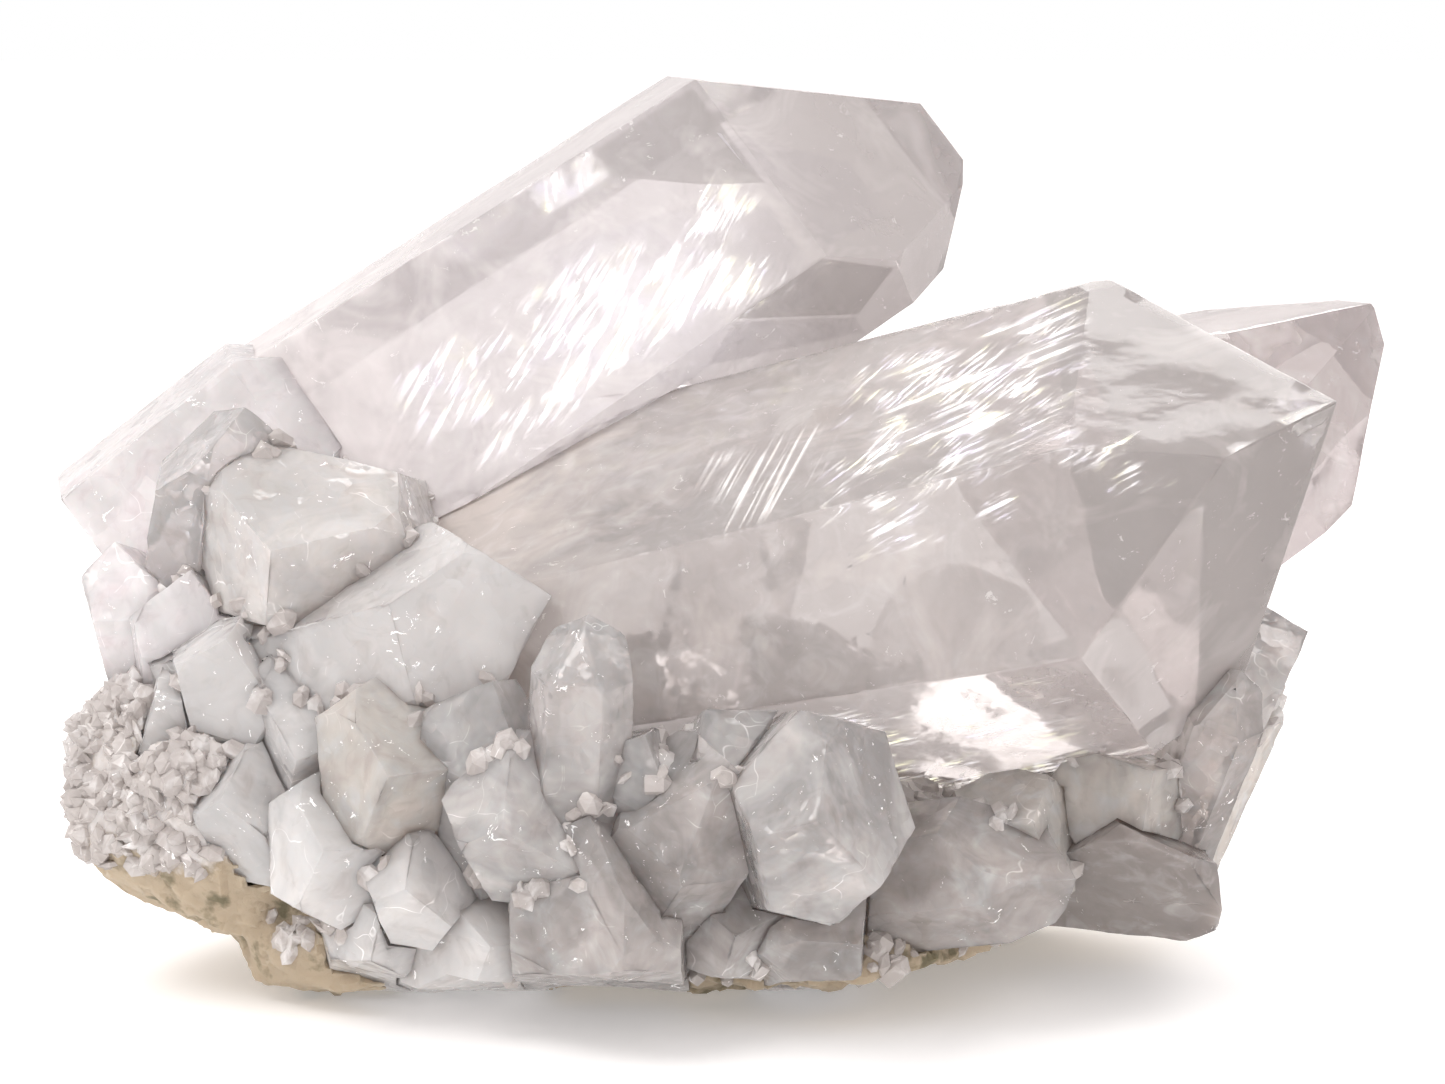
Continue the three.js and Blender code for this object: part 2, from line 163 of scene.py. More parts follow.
def quartz_finish(name, clear, cloudy, through, haze, cloud, shaded_tip=None, milky_root=None,
                  flecks_and_glints=0.5, rough=0.25, glow=0.7, wispy=1.0):
    """Quartz, `clear` coloured above cloud[0] metres and `cloudy` below cloud[1].

    shaded_tip is (colour, x where it starts, x where it is full) for a tip end greyed toward
    that colour, painted shade standing in for the darker room seen through the point, and
    milky_root is (x where it starts, x where it is full) for a cloudy one. A stone whose
    `rough` is above SMOOTH also has scars and hairline cracks.
    """
    material, tree, shader, place = new_finish(name)
    axes = add_node(tree, "ShaderNodeSeparateXYZ", {"Vector": place}).outputs
    sunk = remap(tree, axes["Z"], cloud[0], cloud[1])
    if milky_root:
        sunk = sums(tree, "MAXIMUM", sunk, remap(tree, axes["X"], *milky_root, 0.0, 1.3))
    blotch = mottle(tree, place, 11 * MM, detail=3.0, roughness=0.6, distortion=0.8)
    mist = sums(tree, "ADD", sunk, remap(tree, blotch, 0.32, 0.72, -0.5, 0.5))
    mist = remap(tree, mist, 0.0, 1.0)
    wisps = mottle(tree, place, 4.5 * MM, detail=3.0, roughness=0.6, distortion=1.0)
    stone = tint(tree, mist, clear, cloudy)
    stone = tint(tree, remap(tree, wisps, 0.50, 0.72, 0.0, wispy), stone, (0.99, 0.97, 0.96))
    shade = remap(tree, wisps, 0.46, 0.30, 0.0, 0.40 * wispy)
    stone = tint(tree, shade, stone, tuple(0.70 * c for c in cloudy))
    # Painted shade: the tip end is greyed toward the given colour, for the darker room seen through
    # it.
    if shaded_tip:
        colour, start, full = shaded_tip
        tip_shade = sums(tree, "MULTIPLY", remap(tree, axes["X"], start, full), 0.9)
        stone = tint(tree, tip_shade, stone, colour)
    spots = mottle(tree, place, 2.6 * MM, detail=4.0, roughness=0.78, distortion=1.2)
    busy = remap(tree, blotch, 0.60, 0.36, 0.0, 0.06)
    spots = remap(tree, sums(tree, "ADD", spots, busy), 0.685, 0.72)
    if rough > SMOOTH:
        cracks = hairlines(tree, place, 9 * MM, 0.10 * MM)
        cracks = sums(tree, "MULTIPLY", cracks, remap(tree, blotch, 0.55, 0.65, 0.0, 0.4))
        spots = sums(tree, "MAXIMUM", spots, cracks)
    # Flecks and hairline cracks: white stone colour plus a faint emission below, partly real white
    # cracks and partly a painted glint.
    fleck_and_glint = sums(tree, "MULTIPLY", spots, flecks_and_glints)
    tree.links.new(tint(tree, fleck_and_glint, stone, (1.0, 1.0, 1.0)), shader.inputs["Base Color"])
    see = remap(tree, mist, 0.0, 1.0, through, through * 0.55)
    see = sums(tree, "SUBTRACT", see, sums(tree, "MULTIPLY", fleck_and_glint, 0.7))
    tree.links.new(remap(tree, see, 0.0, 1.0), shader.inputs["Transmission Weight"])
    shader.inputs["Subsurface Weight"].default_value = glow
    shader.inputs["Subsurface Radius"].default_value = (1.0, 0.92, 0.88)
    shader.inputs["Subsurface Scale"].default_value = 4 * MM
    dull = sums(tree, "ADD", remap(tree, mist, 0.0, 1.0, haze, haze + 0.15),
                remap(tree, spots, 0.0, 1.0, 0.0, 0.12))
    tree.links.new(dull, shader.inputs["Roughness"])
    shader.inputs["IOR"].default_value = QUARTZ_IOR
    # The faint emission on the flecks is a painted glint.
    shader.inputs["Emission Color"].default_value = (1.0, 1.0, 1.0, 1.0)
    tree.links.new(sums(tree, "MULTIPLY", fleck_and_glint, 0.35), shader.inputs["Emission Strength"])
    relief = sums(tree, "MULTIPLY", mottle(tree, place, 4 * MM, detail=2.0), MM)
    if rough > SMOOTH:
        relief = sums(tree, "ADD", scars(tree, place, 2.6 * MM), relief)
    bump = add_node(tree, "ShaderNodeBump",
                    {"Height": relief, "Strength": rough, "Distance": 1.0})
    tree.links.new(bump.outputs["Normal"], shader.inputs["Normal"])
    return material


# The grey-beige of a tip end: painted shade, not the colour of the stone.
TIP_SHADE = (0.66, 0.62, 0.61)
finishes = {
    "left_giant": quartz_finish("left_giant_quartz", (0.89, 0.85, 0.86), (0.95, 0.90, 0.90),
                                0.68, 0.04, (66 * MM, 30 * MM),
                                ((0.66, 0.62, 0.61), -6 * MM, 14 * MM),
                                (-25 * MM, -62 * MM), flecks_and_glints=0.2, rough=0.03, glow=0.0,
                                wispy=0.6),
    "right_giant": quartz_finish("right_giant_quartz", (0.76, 0.72, 0.71), (0.80, 0.73, 0.69),
                                 0.66, 0.06, (40 * MM, -20 * MM), (TIP_SHADE, 10 * MM, 50 * MM),
                                 (-6 * MM, -30 * MM), flecks_and_glints=0.2, rough=0.035, glow=0.0,
                                 wispy=0.6),
    "right_back": quartz_finish("right_back_quartz", (0.85, 0.78, 0.78), (0.90, 0.84, 0.82),
                                0.74, 0.04, (60 * MM, 10 * MM), flecks_and_glints=0.2, rough=0.03,
                                glow=0.0, wispy=0.6),
    "left_block": quartz_finish("left_block_quartz", (1.0, 0.94, 0.91), (0.98, 0.91, 0.87),
                                0.55, 0.06, (62 * MM, 20 * MM), flecks_and_glints=0.9),
    "clear_quartz": quartz_finish("clear_quartz", (0.97, 0.93, 0.92), (0.92, 0.87, 0.85),
                                  0.74, 0.05, (50 * MM, -10 * MM), flecks_and_glints=0.8),
    "milky_quartz": quartz_finish("milky_quartz", (1.0, 0.96, 0.95), (0.97, 0.92, 0.90),
                                  0.5, 0.08, (55 * MM, -10 * MM), flecks_and_glints=0.9),
    "warm_quartz": quartz_finish("warm_quartz", (0.97, 0.90, 0.85), (0.92, 0.84, 0.78),
                                 0.62, 0.07, (60 * MM, -10 * MM), flecks_and_glints=0.7),
    "grey_quartz": quartz_finish("grey_quartz", (0.86, 0.81, 0.79), (0.78, 0.73, 0.71),
                                 0.72, 0.05, (40 * MM, -15 * MM), flecks_and_glints=0.7),
    "right_base": quartz_finish("right_base_quartz", (0.54, 0.49, 0.47), (0.46, 0.42, 0.40),
                                0.6, 0.12, (45 * MM, 0), flecks_and_glints=0.1, rough=0.1, wispy=0.4),
    "pink_quartz": quartz_finish("pink_quartz", (1.0, 0.93, 0.94), (1.0, 0.91, 0.93),
                                 0.45, 0.08, (90 * MM, 20 * MM), flecks_and_glints=0.8),
}
print("quartz finishes:", len(finishes))

# %% [markdown]
# ## Faces and worn edges
# A crystal face is flat, but its edges are never razor sharp: they wear to a thin bright
# line and lose small chips. The solids arrive as loose triangles, so they are welded, their
# flat faces joined up again, every sharp edge gets a narrow bevel, and the faces are cut
# into small triangles that can be nudged by noise. The stubby bed crystals grew in a crowd,
# so they are nudged more than the giants and broken into small planes.
# %% Weld, bevel and wear
def welded(name):
    """The node's solid as a bmesh, with flat faces joined up."""
    bm = bmesh.new()
    bm.from_mesh(nodes[name].data)
    bmesh.ops.remove_doubles(bm, verts=bm.verts, dist=0.002 * MM)
    bmesh.ops.dissolve_limit(bm, angle_limit=math.radians(1.5), verts=bm.verts, edges=bm.edges)
    return bm


def bevel_edges(bm, width):
    sharp = [e for e in bm.edges if e.is_manifold and e.calc_face_angle() > math.radians(12)]
    bmesh.ops.bevel(bm, geom=sharp, offset=width, segments=2, profile=0.6,
                    affect="EDGES", clamp_overlap=True)


def split_long_edges(bm, longest):
    """Cuts the faces up until no edge is much longer than that."""
    bmesh.ops.triangulate(bm, faces=bm.faces)
    for _ in range(8):
        long_edges = [e for e in bm.edges if e.calc_length() > longest]
        if not long_edges:
            break
        bmesh.ops.subdivide_edges(bm, edges=long_edges, cuts=1)
        bmesh.ops.triangulate(bm, faces=[f for f in bm.faces if len(f.verts) > 3])


def broken(point, size):
    """How high a point lies on a skin broken into small planes of that size, -1 to 1."""
    spot = point / size
    site = noise.voronoi(spot)[1][0]
    lean = noise.noise_vector(site * 9.7)
    return 2.0 * lean.dot(spot - site)


def wear(bm, swell, grain, chip, scar):
    """Nudges the skin by slow and fine noise and planes, and takes chips out of its edges."""
    bm.normal_update()
    normals = [v.normal.copy() for v in bm.verts]
    on_edge = [max((e.calc_face_angle(0.0) for e in v.link_edges), default=0) > 0.3
               for v in bm.verts]
    for vert, normal, edge in zip(bm.verts, normals, on_edge):
        push = noise.noise(vert.co * 130.0) * swell + noise.noise(vert.co * 420.0) * grain
        if scar:
            push += scar * (broken(vert.co, 6.5 * MM) + 0.5 * broken(vert.co, 2.8 * MM))
        bite = noise.noise(vert.co * 170.0 + Vector((7, 3, 5))) - 0.12
        if edge and bite > 0:
            push -= min(1.0, 2.5 * bite) * chip
        vert.co += normal * push
        vert.co.z = max(vert.co.z, 0.0)


def add_piece(name, mesh, finish):
    """Puts a finished mesh into the scene, riding the cluster."""
    piece = bpy.data.objects.new(name, mesh)
    bpy.context.scene.collection.objects.link(piece)
    mesh.materials.clear()
    mesh.materials.append(finish)
    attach(piece, "root")
    return piece


def finish_crystal(name):
    big = name in giants
    bm = welded(name)
    bevel_edges(bm, 0.35 * MM if big else 0.45 * MM)
    split_long_edges(bm, 3.0 * MM if big else 1.2 * MM)
    if big:
        wear(bm, 0.10 * MM, 0.03 * MM, 0.25 * MM, 0.0)
    else:
        wear(bm, 0.22 * MM, 0.08 * MM, 0.45 * MM, 0.14 * MM)
    mesh = bpy.data.meshes.new(name + "_skin")
    bm.to_mesh(mesh)
    bm.free()
    mesh.shade_smooth()
    mesh.set_sharp_from_angle(angle=math.radians(16))
    slot = slot_of[name]
    skin = add_piece(name + "_skin", mesh, finishes.get(name, finishes[slot]))
    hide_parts(name)
    return skin


skins = {name: finish_crystal(name) for name in crystals}
print("triangles:", sum(len(s.data.polygons) for s in skins.values()))

# %% [markdown]
# ## The matrix
# The matrix is rough all over, milky where it faces the light and stained tan and olive
# underneath, where it was broken from the rock. A voxel remesh turns its cut solid into an
# even skin of small quads, which can then be broken into planes and pushed by noise.
# %% Matrix skin
def rock_finish(name):
    material, tree, shader, place = new_finish(name)
    height = add_node(tree, "ShaderNodeSeparateXYZ", {"Vector": place}).outputs["Z"]
    patch = mottle(tree, place, 9 * MM, detail=8.0, roughness=0.65)
    low = remap(tree, height, 24 * MM, 14 * MM)
    stain = remap(tree, sums(tree, "ADD", patch, sums(tree, "MULTIPLY", low, 0.36)), 0.56, 0.70)
    olive = remap(tree, mottle(tree, place, 5 * MM, detail=6.0), 0.56, 0.66)
    milk = (0.78, 0.73, 0.70)
    tan = (0.50, 0.41, 0.30)
    moss = (0.20, 0.175, 0.11)
    colour = tint(tree, sums(tree, "MULTIPLY", olive, low), tint(tree, stain, milk, tan), moss)
    tree.links.new(colour, shader.inputs["Base Color"])
    tree.links.new(remap(tree, stain, 0.0, 1.0, 0.35, 0.85), shader.inputs["Roughness"])
    shader.inputs["Subsurface Weight"].default_value = 0.5
    shader.inputs["Subsurface Radius"].default_value = (1.0, 0.9, 0.8)
    shader.inputs["Subsurface Scale"].default_value = 3 * MM
    grit = sums(tree, "MULTIPLY", mottle(tree, place, 0.8 * MM, detail=8.0, roughness=0.7), 0.3 * MM)
    relief = sums(tree, "ADD", grit, scars(tree, place, 1.6 * MM))
    bump = add_node(tree, "ShaderNodeBump", {"Height": relief, "Strength": 0.7, "Distance": 1.0})
    tree.links.new(bump.outputs["Normal"], shader.inputs["Normal"])
    return material


finishes["matrix_rock"] = rock_finish("matrix_rock")


def remeshed(source, voxel):
    """A new mesh over the source object's shape, made of even quads of that size."""
    copy = source.copy()
    copy.data = source.data.copy()
    bpy.context.scene.collection.objects.link(copy)
    remesh = copy.modifiers.new("even skin", "REMESH")
    remesh.mode = "VOXEL"
    remesh.voxel_size = voxel
    graph = bpy.context.evaluated_depsgraph_get()
    mesh = bpy.data.meshes.new_from_object(copy.evaluated_get(graph))
    bpy.data.objects.remove(copy)
    return in_order(mesh)


def in_order(mesh):
    """The same mesh with its points and faces sorted by place, so every run is alike."""
    points = [v.co.copy() for v in mesh.vertices]
    order = sorted(range(len(points)), key=lambda i: tuple(points[i]))
    rank = {old: new for new, old in enumerate(order)}
    faces = []
    for face in mesh.polygons:
        ids = [rank[i] for i in face.vertices]
        start = ids.index(min(ids))
        faces.append(ids[start:] + ids[:start])
    ordered = bpy.data.meshes.new("ordered")
    ordered.from_pydata([points[i] for i in order], [], sorted(faces))
    return ordered


def finish_matrix():
    mesh = remeshed(nodes["matrix"], 0.8 * MM)
    mesh.name = "matrix_skin"
    normals = [v.normal.copy() for v in mesh.vertices]
    for vert, normal in zip(mesh.vertices, normals):
        if vert.co.z > 0.6 * MM:
            lump = 0.7 * noise.fractal(vert.co * 120.0, 0.8, 2.1, 4)
            planes = 0.8 * broken(vert.co, 6 * MM) + 0.4 * broken(vert.co, 2.5 * MM)
            vert.co = vert.co + normal * (lump + planes) * MM
            vert.co.z = max(vert.co.z, 0.0)
    mesh.shade_smooth()
    mesh.set_sharp_from_angle(angle=math.radians(30))
    skin = add_piece("matrix_skin", mesh, finishes["matrix_rock"])
    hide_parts("matrix")
    return skin


matrix_skin = finish_matrix()
print("matrix quads:", len(matrix_skin.data.polygons))

# %% [markdown]
# ## A scatterer for small growths
# The crust, the crumbs in the creases and the dark grains are all the same idea: many small
# closed shapes strewn over a surface. A Geometry Nodes tree does it once for all of them: it
# strews points where a slow noise is high, sets a small shape on each, turned to the surface,
# and sizes it at random. The result is realised and turned into a plain mesh.
# %% Scatter tree
def socket(tree, name, kind, value=None):
    item = tree.interface.new_socket(name, in_out="INPUT", socket_type=kind)
    if value is not None:
        item.default_value = value
    return item


def scatter_tree(title, shape):
    """A tree that strews `shape`, a function that adds the unit shape's nodes."""
    tree = bpy.data.node_groups.new(title, "GeometryNodeTree")
    socket(tree, "Surface", "NodeSocketGeometry")
    socket(tree, "Per square metre", "NodeSocketFloat", 1e5)
    socket(tree, "Patch size", "NodeSocketFloat", 10 * MM)
    socket(tree, "Patch edge", "NodeSocketFloat", 0.5)
    socket(tree, "Smallest", "NodeSocketVector")
    socket(tree, "Largest", "NodeSocketVector")
    socket(tree, "Along", "NodeSocketVector")
    socket(tree, "Tilt", "NodeSocketFloat", 0.2)
    socket(tree, "Seed", "NodeSocketInt", 1)
    socket(tree, "Finish", "NodeSocketMaterial")
    tree.interface.new_socket("Growth", in_out="OUTPUT", socket_type="NodeSocketGeometry")
    given = tree.nodes.new("NodeGroupInput").outputs
    place = add_node(tree, "GeometryNodeInputPosition").outputs["Position"]
    per_patch = sums(tree, "DIVIDE", 1.0, given["Patch size"])
    patch = add_node(tree, "ShaderNodeTexNoise", {"Vector": place, "Scale": per_patch, "Detail": 4.0})
    inside = add_node(tree, "FunctionNodeCompare", {0: patch.outputs["Fac"], 1: given["Patch edge"]},
                      data_type="FLOAT", operation="GREATER_THAN").outputs["Result"]
    density = sums(tree, "MULTIPLY", given["Per square metre"], inside)
    strewn = add_node(tree, "GeometryNodeDistributePointsOnFaces",
                      {"Mesh": given["Surface"], "Density": density, "Seed": given["Seed"]})
    upright = add_node(tree, "FunctionNodeAlignRotationToVector",
                       {"Rotation": strewn.outputs["Rotation"], "Vector": given["Along"]},
                       axis="X", pivot_axis="Z").outputs["Rotation"]
    turn = add_node(tree, "FunctionNodeRandomValue", {"Seed": given["Seed"]},
                    data_type="FLOAT_VECTOR")
    least = add_node(tree, "ShaderNodeVectorMath", {0: (-1, -1, -1), "Scale": given["Tilt"]},
                     operation="SCALE").outputs[0]
    most = add_node(tree, "ShaderNodeVectorMath", {0: (1, 1, 1), "Scale": given["Tilt"]},
                    operation="SCALE").outputs[0]
    tree.links.new(least, turn.inputs[0])
    tree.links.new(most, turn.inputs[1])
    tilt = add_node(tree, "FunctionNodeEulerToRotation", {0: turn.outputs[0]}).outputs[0]
    turned = add_node(tree, "FunctionNodeRotateRotation", {0: upright, 1: tilt},
                      rotation_space="LOCAL").outputs[0]
    size = add_node(tree, "FunctionNodeRandomValue",
                    {0: given["Smallest"], 1: given["Largest"], "Seed": given["Seed"]},
                    data_type="FLOAT_VECTOR").outputs[0]
    placed = add_node(tree, "GeometryNodeInstanceOnPoints",
                      {"Points": strewn.outputs["Points"], "Instance": shape(tree),
                       "Rotation": turned, "Scale": size}).outputs["Instances"]
    real = add_node(tree, "GeometryNodeRealizeInstances", {0: placed}).outputs[0]
    painted = add_node(tree, "GeometryNodeSetMaterial",
                       {"Geometry": real, "Material": given["Finish"]}).outputs[0]
    out = tree.nodes.new("NodeGroupOutput")
    tree.links.new(painted, out.inputs["Growth"])
    return tree


def flake_shape(tree):
    return add_node(tree, "GeometryNodeMeshIcoSphere", {"Radius": 0.5, "Subdivisions": 1}).outputs[0]


def point_shape(tree):
    """A six-sided prism with a six-sided pyramid on it, one unit across and half sunk."""
    prism = add_node(tree, "GeometryNodeMeshCylinder",
                     {"Vertices": 6, "Radius": 0.5, "Depth": 1.2}).outputs["Mesh"]
    cap = add_node(tree, "GeometryNodeMeshCone",
                   {"Vertices": 6, "Radius Bottom": 0.5, "Depth": 0.5}).outputs["Mesh"]
    raised = add_node(tree, "GeometryNodeTransform",
                      {"Geometry": cap, "Translation": (0, 0, 0.6)}).outputs[0]
    join = tree.nodes.new("GeometryNodeJoinGeometry")
    tree.links.new(prism, join.inputs[0])
    tree.links.new(raised, join.inputs[0])
    whole = add_node(tree, "GeometryNodeConvexHull", {0: join.outputs[0]}).outputs[0]
    return add_node(tree, "GeometryNodeTransform",
                    {"Geometry": whole, "Translation": (0, 0, -0.45)}).outputs[0]


strew_flakes = scatter_tree("strew flakes", flake_shape)
strew_points = scatter_tree("strew points", point_shape)


def strew(name, tree, surface, finish, slot, **values):
    """Runs a scatter tree over the surface mesh and adds the result as a plain piece."""
    carrier = bpy.data.objects.new(name + "_carrier", surface)
    bpy.context.scene.collection.objects.link(carrier)
    modifier = carrier.modifiers.new("strew", "NODES")
    modifier.node_group = tree
    named = {item.name: item.identifier for item in tree.interface.items_tree
             if item.in_out == "INPUT"}
    for key, value in values.items():
        modifier[named[key.replace("_", " ")]] = value
    modifier[named["Finish"]] = finish
    graph = bpy.context.evaluated_depsgraph_get()
    mesh = bpy.data.meshes.new_from_object(carrier.evaluated_get(graph))
    bpy.data.objects.remove(carrier)
    mesh.name = name
    for vert in mesh.vertices:
        vert.co.z = max(vert.co.z, 0.0)
    print(name, "triangles:", sum(len(p.vertices) - 2 for p in mesh.polygons))
    return add_piece(name, mesh, finish)


print("scatter trees ready")

# %% [markdown]
# ## Sugary crust
# Wherever the matrix shows between the crystals it is covered by a crust of small quartz
# points, like coarse sugar, and the same small points fill the creases where two crystals
# grew into each other. Only skin that is open to the air gets them.
# %% Crust
def solid_tree(names):
    """A tree for quick nearest-point and ray questions about those solids."""
    bm = bmesh.new()
    for name in names:
        bm.from_mesh(nodes[name].data)
    tree = BVHTree.FromBMesh(bm)
    bm.free()
    return tree


def kept_faces(skin, keep):
    """A copy of the skin's mesh with only the faces for which keep(face centre, normal)."""
    bm = bmesh.new()
    bm.from_mesh(skin.data)
    bm.normal_update()
    lost = [f for f in bm.faces if not keep(f.calc_center_median(), f.normal)]
    bmesh.ops.delete(bm, geom=lost, context="FACES")
    mesh = bpy.data.meshes.new(skin.name + "_open")
    bm.to_mesh(mesh)
    bm.free()
    return mesh


every_crystal = solid_tree(crystals)


def bare_rock(centre, normal):
    """True on open rock, except the broken underside, which stays bare."""
    near = every_crystal.find_nearest(centre, 0.8 * MM)[0]
    lean = 0.15 if centre.z < 17 * MM else -0.45
    return normal.z > lean and centre.z > 2.5 * MM and near is None


finishes["sugar"] = quartz_finish("sugar", (0.72, 0.67, 0.65), (0.66, 0.61, 0.58),
                                  0.35, 0.10, (40 * MM, 5 * MM), flecks_and_glints=0.9, glow=0.0)
crust = strew("sugar_crust", strew_points, kept_faces(matrix_skin, bare_rock),
              finishes["sugar"], "milky_quartz",
              Per_square_metre=5.5e5, Patch_size=8 * MM, Patch_edge=0.30,
              Smallest=(0.9 * MM, 0.9 * MM, 0.9 * MM), Largest=(3.6 * MM, 3.6 * MM, 2.8 * MM),
              Along=(0.3, 0.2, 1.0), Tilt=0.6, Seed=4)

# %% Crumbs in the creases
def crease_test(name):
    others = solid_tree([n for n in crystals if n != name])

    def in_crease(centre, normal):
        if centre.z < 3 * MM or normal.z < -0.5:
            return False
        if others.find_nearest(centre, 1.3 * MM)[0] is None:
            return False
        return others.ray_cast(centre + normal * 0.05 * MM, normal, 5 * MM)[0] is None

    return in_crease


def crease_mesh(names):
    joined = bmesh.new()
    for name in names:
        joined.from_mesh(kept_faces(skins[name], crease_test(name)))
    mesh = bpy.data.meshes.new("creases")
    joined.to_mesh(mesh)
    joined.free()
    return mesh


bed = [name for name in crystals if name not in giants]
crumbs = strew("crease_crumbs", strew_points, crease_mesh(bed), finishes["sugar"],
               "milky_quartz", Per_square_metre=2.0e5, Patch_size=9 * MM, Patch_edge=0.53,
               Smallest=(0.8 * MM, 0.8 * MM, 0.8 * MM), Largest=(3.4 * MM, 3.4 * MM, 2.4 * MM),
               Along=(0.3, 0.2, 1.0), Tilt=0.9, Seed=14)

# %% [markdown]
# ## Healed cracks
# Inside the two giants, flat healed cracks run slantwise under the big faces. Each still
# holds a film of air thinner than a hair, so it shines like a scrap of mirror: feathery
# brush strokes of white with a hint of rainbow. A crack is a thin waved slab under the face,
# and the strokes are the places where the slab is not clear. The strokes are painted white
# and rainbow and made to glow. They are partly the white of the crack and partly a painted
# reflection.
# %% Where the big faces are
def big_face(name, direction):
    """Corner points, normal and long direction of the largest flat face turned that way."""
    bm = welded(name)
    toward = Vector(direction).normalized()
    face = max(bm.faces, key=lambda f: f.calc_area() * max(0.0, f.normal.dot(toward)) ** 20)
    points = [v.co.copy() for v in face.verts]
    normal = face.normal.copy()
    longest = max(face.edges, key=lambda e: e.calc_length())
    along = (longest.verts[1].co - longest.verts[0].co).normalized()
    bm.free()
    if along.x < 0:
        along.negate()
    return points, normal, along


def crack_slab(name, node, direction, depth, span, lean, thickness):
    """A thin waved slab under a big face, over a part of it (0 to 1 along and across).

    Every point carries its distance along and across the strokes in millimetres, and how
    near it is to the rim of the slab.
    """
    points, normal, along = big_face(node, direction)
    across = normal.cross(along)
    if across.z < 0:
        across.negate()
    stroke = along * math.cos(lean) + across * math.sin(lean)
    aside = normal.cross(stroke)
    reach = [p.dot(along) for p in points]
    width = [p.dot(across) for p in points]
    base = points[0].dot(normal)
    rows = 40
    bm = bmesh.new()
    grid = []
    for i in range(rows + 1):
        start, end = span[0], span[1]
        a = min(reach) + (max(reach) - min(reach)) * (start + (end - start) * i / rows)
        line = []
        for j in range(rows + 1):
            low, high = span[2], span[3]
            b = min(width) + (max(width) - min(width)) * (low + (high - low) * j / rows)
            dip = depth * (1.0 + 0.5 * noise.noise(Vector((a * 60, b * 60, depth * 900))))
            line.append(bm.verts.new(along * a + across * b + normal * (base - dip)))
        grid.append(line)
    for i in range(rows):
        for j in range(rows):
            bm.faces.new((grid[i][j], grid[i + 1][j], grid[i + 1][j + 1], grid[i][j + 1]))
    bmesh.ops.solidify(bm, geom=bm.faces[:], thickness=thickness)
    bmesh.ops.recalc_face_normals(bm, faces=bm.faces)
    mesh = bpy.data.meshes.new(name)
    bm.to_mesh(mesh)
    bm.free()
    mesh.attributes.new("strokes", "FLOAT_VECTOR", "POINT")
    mesh.attributes.new("rim", "FLOAT", "POINT")
    run, rim = mesh.attributes["strokes"], mesh.attributes["rim"]
    middle_a = min(reach) + (max(reach) - min(reach)) * (span[0] + span[1]) / 2
    middle_b = min(width) + (max(width) - min(width)) * (span[2] + span[3]) / 2
    half_a = (max(reach) - min(reach)) * (span[1] - span[0]) / 2
    half_b = (max(width) - min(width)) * (span[3] - span[2]) / 2
    for index, vert in enumerate(mesh.vertices):
        run.data[index].vector = (vert.co.dot(stroke) / MM, vert.co.dot(aside) / MM, 0)
        out_a = abs(vert.co.dot(along) - middle_a) / half_a
        out_b = abs(vert.co.dot(across) - middle_b) / half_b
        rim.data[index].value = max(out_a, out_b)
    return mesh


def crack_finish(name, long, thin, bunch, edge, veil, painted_glow, colours):
    """Strokes `long` by `thin` mm, in bunches of that width, on a faint even veil."""
    material, tree, shader, place = new_finish(name)
    run = add_node(tree, "ShaderNodeAttribute", attribute_name="strokes").outputs["Vector"]
    rim = add_node(tree, "ShaderNodeAttribute", attribute_name="rim").outputs["Fac"]

    def stretched(length, breadth, detail):
        scale = (1.0 / length, 1.0 / breadth, 1.0)
        put = add_node(tree, "ShaderNodeVectorMath", {0: run, 1: scale}, operation="MULTIPLY")
        noise_node = add_node(tree, "ShaderNodeTexNoise",
                              {"Vector": put.outputs[0], "Scale": 1.0, "Detail": detail,
                               "Roughness": 0.55})
        return noise_node.outputs["Fac"]

    hatch = remap(tree, stretched(long, thin, 2.0), 0.49, 0.60)
    bunches = remap(tree, stretched(1.6 * bunch, bunch, 2.0), edge, edge + 0.09)
    inside = remap(tree, rim, 1.0, 0.7)
    strokes_only = sums(tree, "MULTIPLY", sums(tree, "MULTIPLY", hatch, bunches), inside)
    faint = sums(tree, "MULTIPLY", sums(tree, "MULTIPLY", bunches, inside), veil)
    tree.links.new(sums(tree, "MAXIMUM", strokes_only, faint), shader.inputs["Alpha"])
    hue = mottle(tree, place, 4 * MM, detail=3.0)
    first = tint(tree, remap(tree, hue, 0.36, 0.46), colours[0], colours[1])
    second = tint(tree, remap(tree, hue, 0.54, 0.62), first, colours[2])
    # Painted reflection: the strokes are painted white with a hint of rainbow, and the emission makes
    # them glow like the air film catching light.
    tree.links.new(second, shader.inputs["Base Color"])
    tree.links.new(second, shader.inputs["Emission Color"])
    shader.inputs["Emission Strength"].default_value = painted_glow
    shader.inputs["Roughness"].default_value = 0.3
    return material


